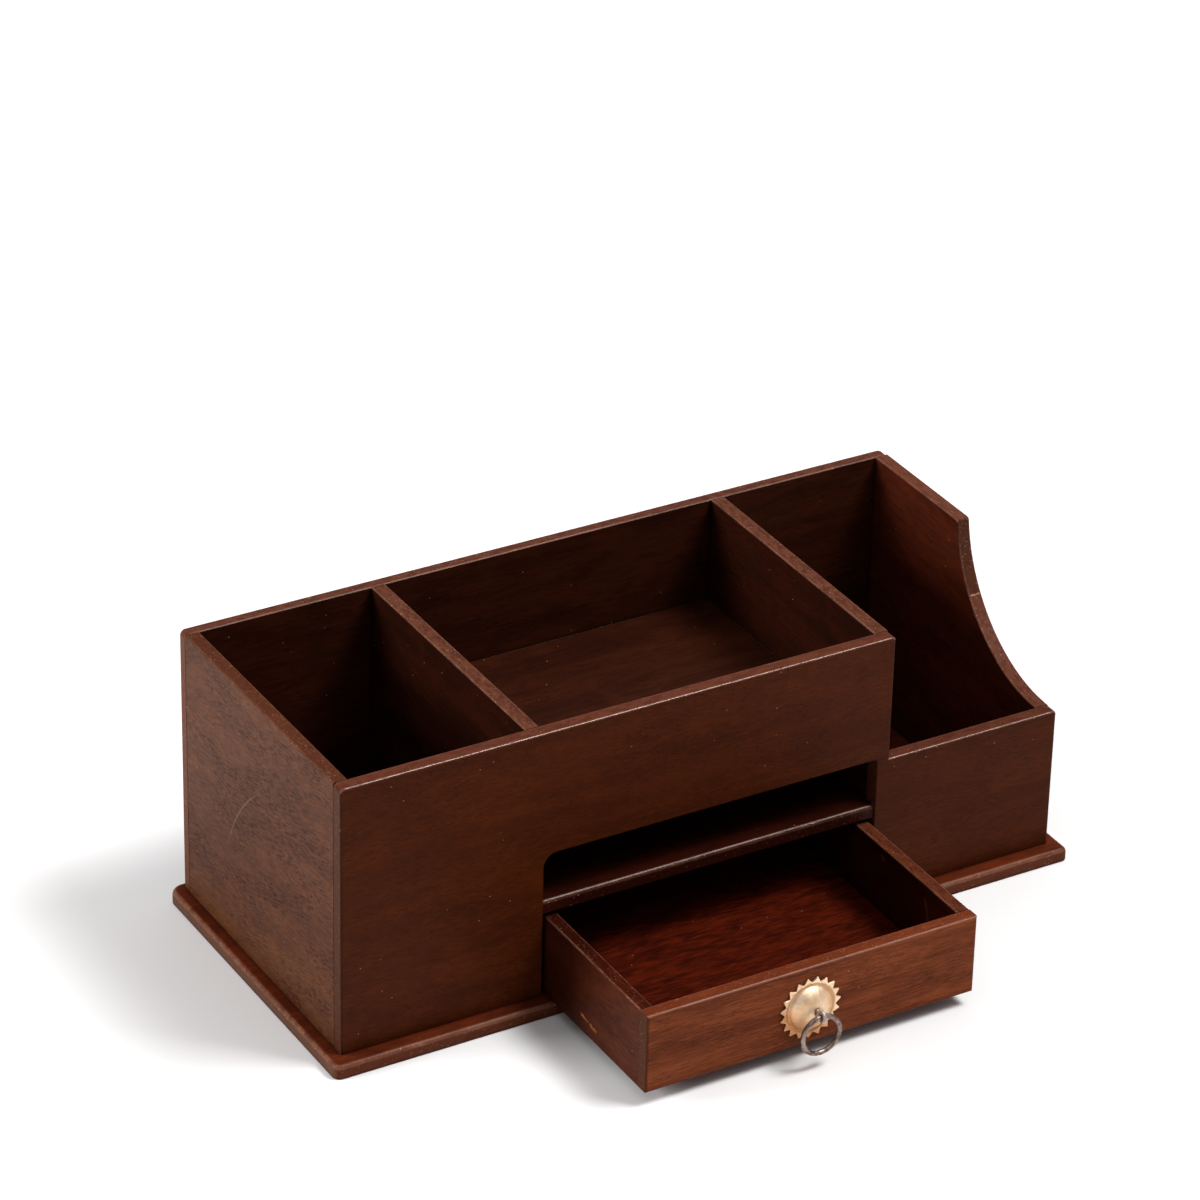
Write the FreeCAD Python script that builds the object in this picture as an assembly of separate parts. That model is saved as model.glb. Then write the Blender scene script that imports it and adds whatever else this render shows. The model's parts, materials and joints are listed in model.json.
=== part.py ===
import FreeCAD, Part
import math
import os

# Pen stand with drawer
# Thin lacquered hardwood boards, butted, glued and nailed, on a base board that stands proud all round.
# From the left: a deep bay for letters, a shallow tray over an open slot and a drawer, and a deep bay
# for pens behind a low front and a scooped side. Millimetres, X to the right along the front, Y to the
# back, Z up, with the origin on the base board's underside, at the middle of the case.

# Case sizes
body_length = 345.0
body_depth = 145.0
body_height = 126.0
side_board = 6.5
front_board = 6.5
back_board = 6.0
partition_board = 6.5
tray_board = 6.5
shelf_board = 6.5

# Base board
base_thickness = 6.5
base_front_overhang = 7.3
base_side_overhang = 6.3
base_back_overhang = 3.0
base_left_front_round = 3.4
base_right_front_round = 2.5
base_back_corner_round = 6.0
base_top_round = 2.4
base_foot_ease = 0.4

# Bays and the open slot
letter_bay_width = 80.5
drawer_bay_width = 160.2
drawer_bay_height = 38.8
slot_height = 24.7
front_lip = 2.2
opening_left_round = 6.0
opening_right_round = 1.0
shelf_setback = 0.8
shelf_nose_round = 2.0
shelf_foot_round = 0.8

# Low front and scooped side
low_front_height = 66.8
scoop_radius = 67.3

# Softened edges of the case
rim_round = 0.9
inner_rim_ease = 0.4
corner_round = 1.6
left_top_round = 2.4
back_corner_round = 2.6
back_round = 1.5

# Drawer
drawer_open = 82.3
drawer_side_gap = 1.4
drawer_floor_gap = 0.3
drawer_top_gap = 1.5
drawer_back_gap = 0.5
drawer_front_board = 6.5
drawer_side_board = 6.0
drawer_back_board = 6.0
drawer_bottom_board = 3.5
drawer_bottom_rise = 2.5
groove_depth = 3.0
groove_play = 0.3
drawer_front_round = 1.1
drawer_rim_round = 0.8

# Rosette of pressed brass sheet, its dome a flat crown over a tighter shoulder
rosette_sheet = 0.8
rosette_drop = 0.8
rosette_slot_gap = 0.15
rosette_dome_height = 5.9
rosette_dome_radius = 10.2
rosette_shoulder_radius = 3.8
rosette_foot_degrees = 68.0
rosette_crown_bands = 3
rosette_shoulder_bands = 4
rosette_groove_width = 1.3
rosette_groove_depth = 0.35
rosette_root_radius = 12.3
rosette_tip_radius = 14.6
rosette_teeth = 19
rosette_turn_degrees = 2.6
tooth_base_share = 0.92
tooth_tip_share = 0.08

# Split-pin eye and ring
pull_left_of_middle = 1.9
ring_radius = 8.7
ring_wire = 2.2
ring_play = 0.15
eye_wire = 1.6
eye_lift = 0.7
eye_neck_round = 1.2
eye_leg_gap = 0.1
eye_bend_round = 1.4
eye_leg_length = 7.0
eye_seat_gap = 0.05
wire_sides = 10

# Brads, thin rectangular pins driven flush and left where nobody looks
brad_width = 1.4
brad_thickness = 1.0
brad_length = 18.0
brad_bore_gap = 0.05
brad_pair_shares = (0.2, 0.8)
brad_wide_pair_shares = (0.12, 0.88)
brad_inner_pair_shares = (0.3, 0.7)

# Shared working values
overrun = 5.0
tolerance = 0.001

# Places of the case
left_x = -body_length / 2
right_x = body_length / 2
front_y = -body_depth / 2
back_y = body_depth / 2
floor_z = base_thickness
rim_z = floor_z + body_height
inner_front_y = front_y + front_board
inner_back_y = back_y - back_board
letter_x = left_x + side_board
left_partition_x = letter_x + letter_bay_width
bay_left_x = left_partition_x + partition_board
bay_right_x = bay_left_x + drawer_bay_width
pen_x = bay_right_x + partition_board
right_inner_x = right_x - side_board
shelf_z = floor_z + drawer_bay_height
shelf_top_z = shelf_z + shelf_board
tray_z = shelf_top_z + slot_height
tray_top_z = tray_z + tray_board
opening_top_z = tray_z - front_lip
low_top_z = floor_z + low_front_height

# Places of the drawer, which stands open
drawer_left_x = bay_left_x + drawer_side_gap
drawer_right_x = bay_right_x - drawer_side_gap
drawer_z = floor_z + drawer_floor_gap
drawer_top_z = shelf_z - drawer_top_gap
drawer_front_y = front_y - drawer_open
drawer_inner_front_y = drawer_front_y + drawer_front_board
drawer_back_y = inner_back_y - drawer_back_gap - drawer_open
drawer_inner_back_y = drawer_back_y - drawer_back_board
drawer_bottom_z = drawer_z + drawer_bottom_rise
drawer_bottom_top_z = drawer_bottom_z + drawer_bottom_board

# Places of the pull
pull_x = (drawer_left_x + drawer_right_x) / 2 - pull_left_of_middle
pull_z = (drawer_z + drawer_top_z) / 2
eye_loop_radius = ring_wire / 2 + ring_play + eye_wire / 2
eye_reach = rosette_dome_height + eye_lift + eye_loop_radius + eye_wire / 2
eye_y = drawer_front_y - eye_reach
leg_z = (eye_wire + eye_leg_gap) / 2
rosette_z = pull_z - rosette_drop
rosette_slot_radius = eye_wire / 2 + rosette_slot_gap
drawer_hole_radius = leg_z + eye_bend_round + eye_seat_gap


def vector(x, y, z):
    return FreeCAD.Vector(x, y, z)


def block(x_span, y_span, z_span):
    """A board between two places along each axis."""
    low = vector(x_span[0], y_span[0], z_span[0])
    return Part.makeBox(x_span[1] - x_span[0], y_span[1] - y_span[0], z_span[1] - z_span[0], low)


def edges_on(solid, *planes):
    """The edges that lie in every plane named as (axis, place)."""
    found = []
    for edge in solid.Edges:
        middle = edge.valueAt((edge.FirstParameter + edge.LastParameter) / 2)
        points = [vertex.Point for vertex in edge.Vertexes] + [middle]
        if all(abs(point[axis] - place) < tolerance for point in points for axis, place in planes):
            found.append(edge)
    return found


def all_but(edges, unwanted):
    """The edges that aren't among the unwanted ones."""
    return [edge for edge in edges if not any(edge.isSame(other) for other in unwanted)]


def rounded_outline(corners, place):
    """A closed wire through corners (a, b, radius), each corner rounded by its own arc."""
    spots = [place(a, b) for a, b, radius in corners]
    turns = []
    for index, (a, b, radius) in enumerate(corners):
        here = spots[index]
        to_before = (spots[index - 1] - here).normalize()
        to_after = (spots[(index + 1) % len(spots)] - here).normalize()
        if not radius:
            turns.append((here, None, here))
            continue
        half_angle = to_before.getAngle(to_after) / 2
        inward = (to_before + to_after).normalize()
        reach = radius / math.tan(half_angle)
        middle = here + inward * (radius / math.sin(half_angle) - radius)
        turns.append((here + to_before * reach, middle, here + to_after * reach))
    edges = []
    for index, (start, middle, end) in enumerate(turns):
        if middle:
            edges.append(Part.Arc(start, middle, end).toShape())
        edges.append(Part.makeLine(end, turns[(index + 1) % len(turns)][0]))
    return Part.Wire(edges)


def spread(low, high, shares):
    """Places between low and high at the given shares of the way."""
    return [low + (high - low) * share for share in shares]


def brad(head_point, direction, gap=0):
    """One brad, flush at head_point; with a gap it is the hole that the brad fills."""
    width = brad_width / 2 + gap
    thickness = brad_thickness / 2 + gap
    pin = Part.makeBox(width + width, thickness + thickness, brad_length + gap, vector(-width, -thickness, 0))
    turn = FreeCAD.Placement(head_point, FreeCAD.Rotation(vector(0, 0, 1), direction))
    return pin.transformed(turn.toMatrix())


def brad_group(places):
    return Part.makeCompound([brad(point, direction) for point, direction in places])


def drilled(board, *groups):
    """The board with the hole of every brad that reaches it."""
    holes = [brad(point, direction, brad_bore_gap) for group in groups for point, direction in group]
    near = [hole for hole in holes if hole.BoundBox.intersect(board.BoundBox)]
    return board.cut(near) if near else board


# Where the brads go: up through the base, in from the back, and through each partition
up = vector(0, 0, 1)
side_lines = [left_x + side_board / 2, right_x - side_board / 2]
partition_lines = [left_partition_x + partition_board / 2, bay_right_x + partition_board / 2]
front_line = front_y + front_board / 2
back_line = back_y - back_board / 2
inner_pair = spread(inner_front_y, inner_back_y, brad_pair_shares)

base_brad_places = [(vector(x, y, 0), up) for x in side_lines + partition_lines for y in inner_pair]
base_brad_places += [(vector((left_x + bay_left_x) / 2, front_line, 0), up)]
base_brad_places += [(vector((bay_right_x + right_x) / 2, front_line, 0), up)]
base_brad_places += [(vector(x, back_line, 0), up) for x in spread(left_x, right_x, brad_inner_pair_shares)]

back_brad_places = []
for x in side_lines:
    for z in spread(floor_z, rim_z, brad_wide_pair_shares):
        back_brad_places.append((vector(x, back_y, z), vector(0, -1, 0)))
for z in (shelf_z + shelf_board / 2, tray_z + tray_board / 2):
    for x in spread(bay_left_x, bay_right_x, brad_inner_pair_shares):
        back_brad_places.append((vector(x, back_y, z), vector(0, -1, 0)))

partition_brad_places = []
for face_x, inward in ((left_partition_x, 1), (pen_x, -1)):
    for z in (shelf_z + shelf_board / 2, tray_z + tray_board / 2):
        for y in inner_pair:
            partition_brad_places.append((vector(face_x, y, z), vector(inward, 0, 0)))

drawer_back_line = drawer_back_y - drawer_back_board / 2
drawer_brad_places = []
for face_x, inward in ((drawer_left_x, 1), (drawer_right_x, -1)):
    for z in spread(drawer_bottom_top_z, drawer_top_z, brad_pair_shares):
        drawer_brad_places.append((vector(face_x, drawer_back_line, z), vector(inward, 0, 0)))
for x in spread(drawer_left_x, drawer_right_x, brad_inner_pair_shares):
    drawer_brad_places.append((vector(x, drawer_back_line, drawer_bottom_z), up))


def make_base_board():
    """Bottom board, proud most at the front and least at the back, its top edge rounded over."""
    x_span = (left_x - base_side_overhang, right_x + base_side_overhang)
    y_span = (front_y - base_front_overhang, back_y + base_back_overhang)
    board = block(x_span, y_span, (0, base_thickness))
    for x, y, radius in ((x_span[0], y_span[0], base_left_front_round),
                         (x_span[1], y_span[0], base_right_front_round),
                         (x_span[0], y_span[1], base_back_corner_round),
                         (x_span[1], y_span[1], base_back_corner_round)):
        board = board.makeFillet(radius, edges_on(board, (0, x), (1, y)))
    board = board.makeFillet(base_top_round, edges_on(board, (2, base_thickness)))
    board = board.makeChamfer(base_foot_ease, edges_on(board, (2, 0)))
    return drilled(board, base_brad_places)


def make_left_side():
    board = block((left_x, letter_x), (inner_front_y, inner_back_y), (floor_z, rim_z))
    board = board.makeFillet(rim_round, edges_on(board, (0, left_x), (2, rim_z)))
    board = board.makeChamfer(inner_rim_ease, edges_on(board, (0, letter_x), (2, rim_z)))
    return drilled(board, base_brad_places, back_brad_places)


def make_right_side():
    """Side board whose top front is a deep concave sweep down to the low front."""
    centre_y = inner_front_y
    centre_z = low_top_z + scoop_radius
    sweep_top_z = min(rim_z, centre_z)
    end_angle = math.asin((centre_z - sweep_top_z) / scoop_radius)
    middle_angle = (math.pi / 2 + end_angle) / 2

    def on_sweep(angle):
        return vector(right_inner_x, centre_y + scoop_radius * math.cos(angle),
                      centre_z - scoop_radius * math.sin(angle))

    def showing_edges(board, x):
        hidden = edges_on(board, (1, inner_back_y)) + edges_on(board, (1, inner_front_y))
        return all_but(edges_on(board, (0, x)), hidden + edges_on(board, (2, floor_z)))

    foot = vector(right_inner_x, inner_front_y, low_top_z)
    sweep_top = on_sweep(end_angle)
    straight = [vector(right_inner_x, sweep_top.y, rim_z)] if rim_z > sweep_top_z else []
    corners = [sweep_top] + straight
    corners += [vector(right_inner_x, inner_back_y, rim_z), vector(right_inner_x, inner_back_y, floor_z)]
    corners += [vector(right_inner_x, inner_front_y, floor_z), foot]
    edges = [Part.makeLine(start, end) for start, end in zip(corners, corners[1:])]
    edges.append(Part.Arc(foot, on_sweep(middle_angle), sweep_top).toShape())
    board = Part.Face(Part.Wire(edges)).extrude(vector(side_board, 0, 0))
    board = board.makeFillet(corner_round, edges_on(board, (1, sweep_top.y), (2, rim_z)))
    board = board.makeFillet(rim_round, showing_edges(board, right_x))
    board = board.makeChamfer(inner_rim_ease, showing_edges(board, right_inner_x))
    return drilled(board, base_brad_places, back_brad_places)


def make_back_panel():
    board = block((left_x, right_x), (inner_back_y, back_y), (floor_z, rim_z))
    for x in (left_x, right_x):
        board = board.makeFillet(back_corner_round, edges_on(board, (0, x), (2, rim_z)))
    outer = edges_on(board, (1, back_y))
    board = board.makeFillet(back_round, all_but(outer, edges_on(board, (2, floor_z))))
    board = board.makeChamfer(inner_rim_ease, edges_on(board, (1, inner_back_y), (2, rim_z)))
    return drilled(board, base_brad_places, back_brad_places)


def make_front_panel():
    """One board: tall on the left, cut out for slot and drawer, low before the pen bay."""
    corners = [
        (left_x, floor_z, 0),
        (bay_left_x, floor_z, 0),
        (bay_left_x, opening_top_z, opening_left_round),
        (bay_right_x, opening_top_z, opening_right_round),
        (bay_right_x, floor_z, 0),
        (right_x, floor_z, 0),
        (right_x, low_top_z, corner_round),
        (pen_x, low_top_z, 0),
        (pen_x, rim_z, corner_round),
        (left_x, rim_z, left_top_round),
    ]
    outline = rounded_outline(corners, lambda x, z: vector(x, front_y, z))
    board = Part.Face(outline).extrude(vector(0, front_board, 0))
    front_edges = edges_on(board, (1, front_y))
    board = board.makeFillet(rim_round, all_but(front_edges, edges_on(board, (2, floor_z))))
    for top_z in (rim_z, low_top_z):
        top_edges = edges_on(board, (1, inner_front_y), (2, top_z))
        board = board.makeChamfer(inner_rim_ease, top_edges)
    return drilled(board, base_brad_places)


def make_partition(x):
    board = block((x, x + partition_board), (inner_front_y, inner_back_y), (floor_z, rim_z))
    board = board.makeChamfer(inner_rim_ease, edges_on(board, (0, x), (2, rim_z)))
    board = board.makeChamfer(inner_rim_ease, edges_on(board, (0, x + partition_board), (2, rim_z)))
    return drilled(board, base_brad_places, partition_brad_places)


def make_tray_floor():
    board = block((bay_left_x, bay_right_x), (inner_front_y, inner_back_y), (tray_z, tray_top_z))
    return drilled(board, back_brad_places, partition_brad_places)


def make_slot_shelf():
    """Shelf between slot and drawer, its rounded nose filling the front board's opening."""
    nose_y = front_y + shelf_setback
    board = block((bay_left_x, bay_right_x), (nose_y, inner_back_y), (shelf_z, shelf_top_z))
    board = board.makeFillet(shelf_nose_round, edges_on(board, (1, nose_y), (2, shelf_top_z)))
    board = board.makeFillet(shelf_foot_round, edges_on(board, (1, nose_y), (2, shelf_z)))
    return drilled(board, back_brad_places, partition_brad_places)


def bottom_groove():
    """The groove space that runs round the drawer's sides and front for the bottom panel."""
    x_span = (drawer_left_x + drawer_side_board - groove_depth, drawer_right_x - drawer_side_board + groove_depth)
    y_span = (drawer_inner_front_y - groove_depth, drawer_back_y + overrun)
    return block(x_span, y_span, (drawer_bottom_z, drawer_bottom_top_z))


def make_drawer_front():
    board = block((drawer_left_x, drawer_right_x), (drawer_front_y, drawer_inner_front_y), (drawer_z, drawer_top_z))
    board = board.makeFillet(drawer_front_round, edges_on(board, (1, drawer_front_y)))
    board = board.makeChamfer(inner_rim_ease, edges_on(board, (1, drawer_inner_front_y), (2, drawer_top_z)))
    hole_start = vector(pull_x, drawer_front_y - overrun, pull_z)
    hole_length = drawer_front_board + overrun + overrun
    hole = Part.makeCylinder(drawer_hole_radius, hole_length, hole_start, vector(0, 1, 0))
    return board.cut([bottom_groove(), hole])


def make_drawer_side(outer_x, inner_x):
    x_span = (min(outer_x, inner_x), max(outer_x, inner_x))
    board = block(x_span, (drawer_inner_front_y, drawer_back_y), (drawer_z, drawer_top_z))
    for x in x_span:
        board = board.makeFillet(drawer_rim_round, edges_on(board, (0, x), (2, drawer_top_z)))
    return drilled(board.cut(bottom_groove()), drawer_brad_places)


def make_drawer_back():
    """Back board, between the sides and standing on the bottom panel."""
    x_span = (drawer_left_x + drawer_side_board, drawer_right_x - drawer_side_board)
    board = block(x_span, (drawer_inner_back_y, drawer_back_y), (drawer_bottom_top_z, drawer_top_z))
    for y in (drawer_inner_back_y, drawer_back_y):
        board = board.makeChamfer(inner_rim_ease, edges_on(board, (1, y), (2, drawer_top_z)))
    return drilled(board, drawer_brad_places)


def make_drawer_bottom():
    inset = drawer_side_board - groove_depth + groove_play
    x_span = (drawer_left_x + inset, drawer_right_x - inset)
    y_span = (drawer_inner_front_y - groove_depth + groove_play, drawer_back_y)
    board = block(x_span, y_span, (drawer_bottom_z, drawer_bottom_top_z))
    return drilled(board, drawer_brad_places)


def make_rosette():
    """Pressed brass rosette: hollow dome slotted for the eye's legs, a groove, and a rim of triangular teeth."""
    foot_angle = math.radians(rosette_foot_degrees)
    shoulder_x = rosette_dome_radius - rosette_shoulder_radius * math.sin(foot_angle)
    shoulder_height = rosette_sheet - rosette_shoulder_radius * math.cos(foot_angle)
    rise = rosette_dome_height - shoulder_height
    crown_span = shoulder_x ** 2 + rise ** 2 - rosette_shoulder_radius ** 2
    crown_radius = crown_span / (rise + rise - rosette_shoulder_radius - rosette_shoulder_radius)
    crown_height = rosette_dome_height - crown_radius
    meeting_angle = math.atan2(shoulder_x, shoulder_height - crown_height)
    inner_shoulder_radius = rosette_shoulder_radius - rosette_sheet
    inner_foot_angle = math.acos(-shoulder_height / inner_shoulder_radius)

    def spot(radius, height):
        return vector(pull_x + radius, drawer_front_y - height, rosette_z)

    def on_crown(angle, depth=0):
        reach = crown_radius - depth
        return spot(reach * math.sin(angle), crown_height + reach * math.cos(angle))

    def on_shoulder(angle, depth=0):
        reach = rosette_shoulder_radius - depth
        return spot(shoulder_x + reach * math.sin(angle), shoulder_height + reach * math.cos(angle))

    def bands(start, end, count):
        return [start + (end - start) * step / count for step in range(count)]

    groove_end = rosette_dome_radius + rosette_groove_width
    plate_edge = (groove_end + rosette_root_radius) / 2
    corners = [on_crown(angle) for angle in bands(0, meeting_angle, rosette_crown_bands)]
    corners += [on_shoulder(angle) for angle in bands(meeting_angle, foot_angle, rosette_shoulder_bands)]
    corners += [
        on_shoulder(foot_angle),
        spot((rosette_dome_radius + groove_end) / 2, rosette_sheet - rosette_groove_depth),
        spot(groove_end, rosette_sheet),
        spot(plate_edge, rosette_sheet),
        spot(plate_edge, 0),
        on_shoulder(inner_foot_angle, rosette_sheet),
        on_crown(meeting_angle, rosette_sheet),
        on_crown(0, rosette_sheet),
        on_crown(0),
    ]
    profile = Part.Face(Part.makePolygon(corners))
    outward = vector(0, -1, 0)
    dome = profile.revolve(spot(0, 0), outward, 360)

    pitch = 2 * math.pi / rosette_teeth
    rim = []
    for tooth in range(rosette_teeth):
        middle = math.radians(rosette_turn_degrees) + tooth * pitch
        for radius, share in ((rosette_root_radius, -tooth_base_share), (rosette_tip_radius, -tooth_tip_share),
                              (rosette_tip_radius, tooth_tip_share), (rosette_root_radius, tooth_base_share)):
            angle = middle + share * pitch / 2
            rim.append(vector(pull_x + radius * math.cos(angle), drawer_front_y,
                              rosette_z + radius * math.sin(angle)))
    teeth = Part.Face(Part.makePolygon(rim + rim[:1])).extrude(outward * rosette_sheet)
    plate_hole = Part.makeCylinder(plate_edge, rosette_sheet, spot(0, 0), outward)
    slot_depth = rosette_dome_height + overrun
    slot = block((pull_x - rosette_slot_radius, pull_x + rosette_slot_radius),
                 (drawer_front_y - slot_depth, drawer_front_y), (pull_z - leg_z, pull_z + leg_z))
    slot_ends = [Part.makeCylinder(rosette_slot_radius, slot_depth, vector(pull_x, drawer_front_y, z), outward)
                 for z in (pull_z - leg_z, pull_z + leg_z)]
    return dome.fuse(teeth.cut(plate_hole)).removeSplitter().cut(slot.fuse(slot_ends))


def wire_section(centre, along, radius):
    """A round wire's cross-section, drawn many-sided, square to a direction in the Y-Z plane."""
    across = along.cross(vector(1, 0, 0))
    turns = [2 * math.pi * (side + 0.5) / wire_sides for side in range(wire_sides)]
    points = [centre + vector(radius * math.cos(turn), 0, 0) + across * (radius * math.sin(turn)) for turn in turns]
    return Part.Face(Part.makePolygon(points + points[:1]))


def straight_wire(start, end, radius):
    along = (end - start).normalize()
    return wire_section(start, along, radius).extrude(end - start)


def bent_wire(start, centre, degrees, radius):
    """Wire bent round a centre from its start, turning about X by so many degrees."""
    turn = vector(1, 0, 0) if degrees > 0 else vector(-1, 0, 0)
    along = turn.cross(start - centre).normalize()
    return wire_section(start, along, radius).revolve(centre, turn, abs(degrees))


def make_eye():
    """Split-pin eye: a loop in front of the dome, two legs through the board, spread flat inside."""
    radius = eye_wire / 2
    neck_z = leg_z + eye_neck_round
    neck_span = eye_loop_radius + eye_neck_round
    neck_y = math.sqrt(neck_span ** 2 - neck_z ** 2)
    neck_degrees = math.degrees(math.atan2(neck_z, neck_y))
    loop_share = eye_loop_radius / neck_span
    seat_y = eye_reach + drawer_front_board + radius + eye_seat_gap
    bend_y = seat_y - eye_bend_round
    bend_z = leg_z + eye_bend_round

    def spot(y, z):
        return vector(pull_x, eye_y + y, pull_z + z)

    loop_start = spot(neck_y * loop_share, neck_z * loop_share)
    wires = [bent_wire(loop_start, spot(0, 0), 360 - 2 * neck_degrees, radius)]
    for side in (1, -1):
        bend_start = spot(seat_y, side * bend_z)
        neck_start = spot(neck_y, side * leg_z)
        wires.append(straight_wire(spot(seat_y, side * (bend_z + eye_leg_length)), bend_start, radius))
        wires.append(bent_wire(bend_start, spot(bend_y, side * bend_z), -side * 90, radius))
        wires.append(straight_wire(spot(bend_y, side * leg_z), neck_start, radius))
        wires.append(bent_wire(neck_start, spot(neck_y, side * neck_z), -side * (90 - neck_degrees), radius))
    return wires[0].fuse(wires[1:])


def make_ring():
    centre = vector(pull_x, eye_y, pull_z - ring_radius)
    top = centre + vector(0, 0, ring_radius)
    turns = [2 * math.pi * (side + 0.5) / wire_sides for side in range(wire_sides)]
    points = [top + vector(0, math.cos(turn), math.sin(turn)) * (ring_wire / 2) for turn in turns]
    section = Part.Face(Part.makePolygon(points + points[:1]))
    return section.revolve(centre, vector(0, 1, 0), 360)


pieces = {
    "base_board": make_base_board(),
    "left_side": make_left_side(),
    "right_side": make_right_side(),
    "back_panel": make_back_panel(),
    "front_panel": make_front_panel(),
    "left_partition": make_partition(left_partition_x),
    "right_partition": make_partition(bay_right_x),
    "tray_floor": make_tray_floor(),
    "slot_shelf": make_slot_shelf(),
    "base_brads": brad_group(base_brad_places),
    "back_brads": brad_group(back_brad_places),
    "partition_brads": brad_group(partition_brad_places),
    "drawer_front": make_drawer_front(),
    "drawer_left_side": make_drawer_side(drawer_left_x, drawer_left_x + drawer_side_board),
    "drawer_right_side": make_drawer_side(drawer_right_x, drawer_right_x - drawer_side_board),
    "drawer_back": make_drawer_back(),
    "drawer_bottom": make_drawer_bottom(),
    "drawer_brads": brad_group(drawer_brad_places),
    "pull_rosette": make_rosette(),
    "pull_eye": make_eye(),
    "pull_ring": make_ring(),
}

os.makedirs("parts", exist_ok=True)
for name, shape in pieces.items():
    shape.exportStep("parts/" + name + ".step")
    box = shape.BoundBox
    print(f"{name}: {len(shape.Solids)} solids, valid {shape.isValid()}, volume {shape.Volume:.0f},",
          f"x {box.XMin:.1f} {box.XMax:.1f}, y {box.YMin:.1f} {box.YMax:.1f}, z {box.ZMin:.1f} {box.ZMax:.1f}")
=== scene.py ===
# %% [markdown]
# # A dark lacquered pen stand with a drawer
# The stand is a small desk piece of thin hardwood boards, stained red-brown and lacquered to a satin shine. It
# has a deep bay for letters, a shallow tray over an open slot and a drawer, and a pen bay with a scooped side.
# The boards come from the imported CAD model. Here they get their finish, and the drawer's pull is built anew.

import json
import math
import random

import bmesh
import bpy
from mathutils import Matrix, Vector


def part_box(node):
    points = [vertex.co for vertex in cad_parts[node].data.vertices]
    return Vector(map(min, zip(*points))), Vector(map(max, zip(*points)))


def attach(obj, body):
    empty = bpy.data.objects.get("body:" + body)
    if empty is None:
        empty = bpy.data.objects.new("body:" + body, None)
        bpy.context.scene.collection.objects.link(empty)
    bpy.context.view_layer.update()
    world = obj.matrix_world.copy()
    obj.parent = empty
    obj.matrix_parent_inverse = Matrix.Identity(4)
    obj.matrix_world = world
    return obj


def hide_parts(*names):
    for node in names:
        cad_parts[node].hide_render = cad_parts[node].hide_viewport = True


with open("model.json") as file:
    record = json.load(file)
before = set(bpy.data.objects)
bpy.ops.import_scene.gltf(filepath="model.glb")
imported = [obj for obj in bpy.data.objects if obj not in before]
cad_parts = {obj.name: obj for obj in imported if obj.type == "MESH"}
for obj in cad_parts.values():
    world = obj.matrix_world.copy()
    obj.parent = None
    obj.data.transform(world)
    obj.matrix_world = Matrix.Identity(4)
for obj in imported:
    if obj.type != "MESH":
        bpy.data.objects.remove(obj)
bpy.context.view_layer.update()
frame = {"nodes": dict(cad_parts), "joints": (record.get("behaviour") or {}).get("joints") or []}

# %% [markdown]
# ## Small helpers
# Woodworkers and metalworkers think in millimetres, and colours are picked as hex codes on a screen.
# Blender works in metres and in linear light, so two small functions translate.

# %% Millimetres and hex colours
MM = 0.001


def to_linear(code):
    """An sRGB hex colour such as 6B3A2B as linear red, green, blue, alpha."""
    channels = [int(code[start:start + 2], 16) / 255 for start in (0, 2, 4)]
    return [c / 12.92 if c <= 0.04045 else ((c + 0.055) / 1.055) ** 2.4 for c in channels] + [1.0]


print("stain red-brown in linear light:", [round(c, 4) for c in to_linear("6B3A2B")])

# %% [markdown]
# A material is a tree of nodes. One function adds a node of any kind, sets its options, and fills its inputs.
# An input that is given another node's output is linked to it, and any other value is set on the socket.

# %% Add a node with its settings and links
def add(tree, kind, inputs, **settings):
    """A node of a kind, with its settings, and its inputs linked or filled."""
    made = tree.nodes.new(kind)
    for name, value in settings.items():
        setattr(made, name, value)
    for socket, value in inputs.items():
        if isinstance(value, bpy.types.NodeSocket):
            tree.links.new(value, made.inputs[socket])
        else:
            made.inputs[socket].default_value = value
    return made


def new_finish(name):
    """An empty material and its tree, ready for its nodes."""
    finish = bpy.data.materials.new(name)
    finish.use_nodes = True
    finish.node_tree.nodes.clear()
    return finish, finish.node_tree


# %% [markdown]
# ## Camera
# The stand was seen from its front left corner, a little above, with a long lens, so its edges hardly converge.
# The place and turn were solved from the corners of the case, whose sizes are known from the model.
# A camera made from three angles is easier to read than one made from a matrix of nine numbers.

# %% Place the camera
camera_place = Vector((-999.1, -1668.0, 1234.4)) * MM
camera_yaw, camera_pitch, camera_roll = (math.radians(angle) for angle in (30.593, 29.448, 1.380))
photo_focal_length, photo_width, sensor_width = 5339.5, 1200.0, 36.0

ahead = Vector((math.sin(camera_yaw) * math.cos(camera_pitch), math.cos(camera_yaw) * math.cos(camera_pitch),
                -math.sin(camera_pitch)))
level = Vector((math.cos(camera_yaw), -math.sin(camera_yaw), 0))
upward = level.cross(ahead)
rightward = level * math.cos(camera_roll) + upward * math.sin(camera_roll)
upward = upward * math.cos(camera_roll) - level * math.sin(camera_roll)

camera_data = bpy.data.cameras.new("photo_camera")
camera_data.sensor_fit = "HORIZONTAL"
camera_data.sensor_width = sensor_width
camera_data.lens = photo_focal_length / photo_width * sensor_width
camera = bpy.data.objects.new("photo_camera", camera_data)
camera_turn = Matrix((rightward, upward, -ahead)).transposed().to_4x4()
camera.matrix_world = Matrix.Translation(camera_place) @ camera_turn
bpy.context.scene.collection.objects.link(camera)
bpy.context.scene.camera = camera
print("lens in mm:", round(camera_data.lens, 1))

# %% [markdown]
# ## Floor and light
# A plain pale floor keeps attention on the wood. It is one large flat disc.
# The light is that of a small studio: a soft box overhead, a little to the right, draws thin highlights along
# the front arrises. A weaker one stands on the left, a little behind the case. It lights the left side, and the
# case keeps the drawer and the slot in shade. A wide white ceiling sends soft light down into the deep bays.
# The standard view keeps the dark stain as rich as it is.

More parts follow.
